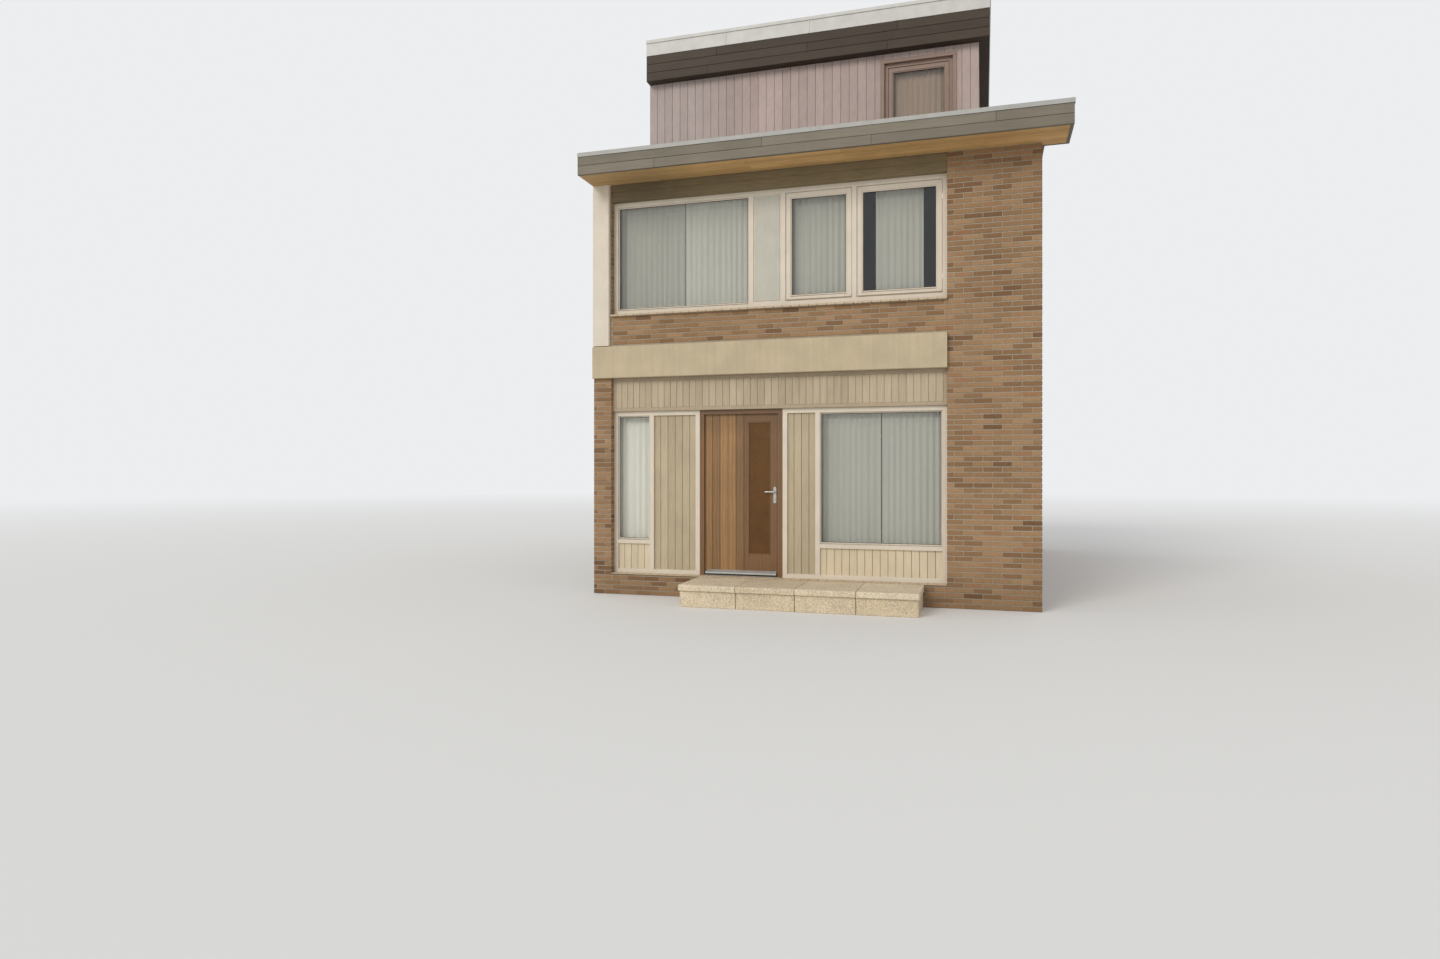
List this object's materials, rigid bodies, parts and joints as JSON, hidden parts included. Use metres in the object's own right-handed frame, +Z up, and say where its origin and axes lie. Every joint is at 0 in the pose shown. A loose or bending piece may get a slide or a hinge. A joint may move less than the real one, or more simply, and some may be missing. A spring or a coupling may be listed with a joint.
{
  "type": "two-storey brick end-of-terrace house",
  "caption": "Brick end-of-terrace house with a flat roof, wide window bays and a smaller storey on top.",
  "frame": {"origin": "middle of the roof outline, on the ground, on the underside of the ground floor", "axes": "+X along the garden front towards the free side wall, +Y from the garden front to the back, +Z up"},
  "size_m": [5.964, 10.43, 8.3],
  "materials": {
    "brick": "matt",
    "party_brick": "matt",
    "band_concrete": "matt",
    "floor_concrete": "matt",
    "step_concrete": "matt",
    "cream_paint": "satin",
    "box_paint": "satin",
    "panel_paint": "satin",
    "eaves_paint": "matt",
    "fascia_paint": "satin",
    "door_wood": "satin",
    "door_metal": "satin",
    "window_glass": "clear",
    "roofing": "matt",
    "top_cladding": "matt",
    "top_paint": "matt",
    "top_metal": "matt",
    "net": "matt"
  },
  "bodies": {
    "house": {"ground_floor": "floor_concrete", "first_floor": "floor_concrete", "roof_deck": "roofing", "party_wall": "party_brick", "gable_wall": "brick", "front_plinth": "brick", "front_party_pier": "brick", "front_corner_pier": "brick", "front_spandrel": "brick", "front_band": "band_concrete", "front_frieze": "eaves_paint", "front_party_post": "cream_paint", "front_sill": "band_concrete", "front_upper_frame": "cream_paint", "front_upper_glass": "window_glass", "front_screen_left": "cream_paint", "front_screen_right": "cream_paint", "front_screen_glass": "window_glass", "front_screen_panels": "panel_paint", "front_transom": "box_paint", "door_frame": "door_wood", "front_step": "step_concrete", "back_plinth": "brick", "back_piers": "brick", "back_spandrel": "brick", "back_band": "band_concrete", "back_frieze": "eaves_paint", "back_sill": "band_concrete", "back_upper_frame": "cream_paint", "back_screen": "cream_paint", "back_glass": "window_glass", "back_panels": "panel_paint", "back_step": "step_concrete", "eaves_soffit": "eaves_paint", "eaves_fascia": "fascia_paint", "loft_front_wall": "top_cladding", "loft_back_wall": "top_cladding", "loft_side_walls": "top_cladding", "loft_frames": "top_paint", "loft_glass": "window_glass", "loft_roof": "roofing", "loft_fascia": "top_paint", "loft_trim": "top_metal", "curtains": "net"},
    "door": {"garden_door": "door_wood", "door_pull": "door_metal"}
  },
  "joints": [
    {"name": "garden_door_hinge", "type": "hinge", "parent": "house", "child": "door", "pos_m": [-1.467, -4.313, 1.34], "axis": [0, 0, 1], "range_deg": [0, 95]}
  ]
}
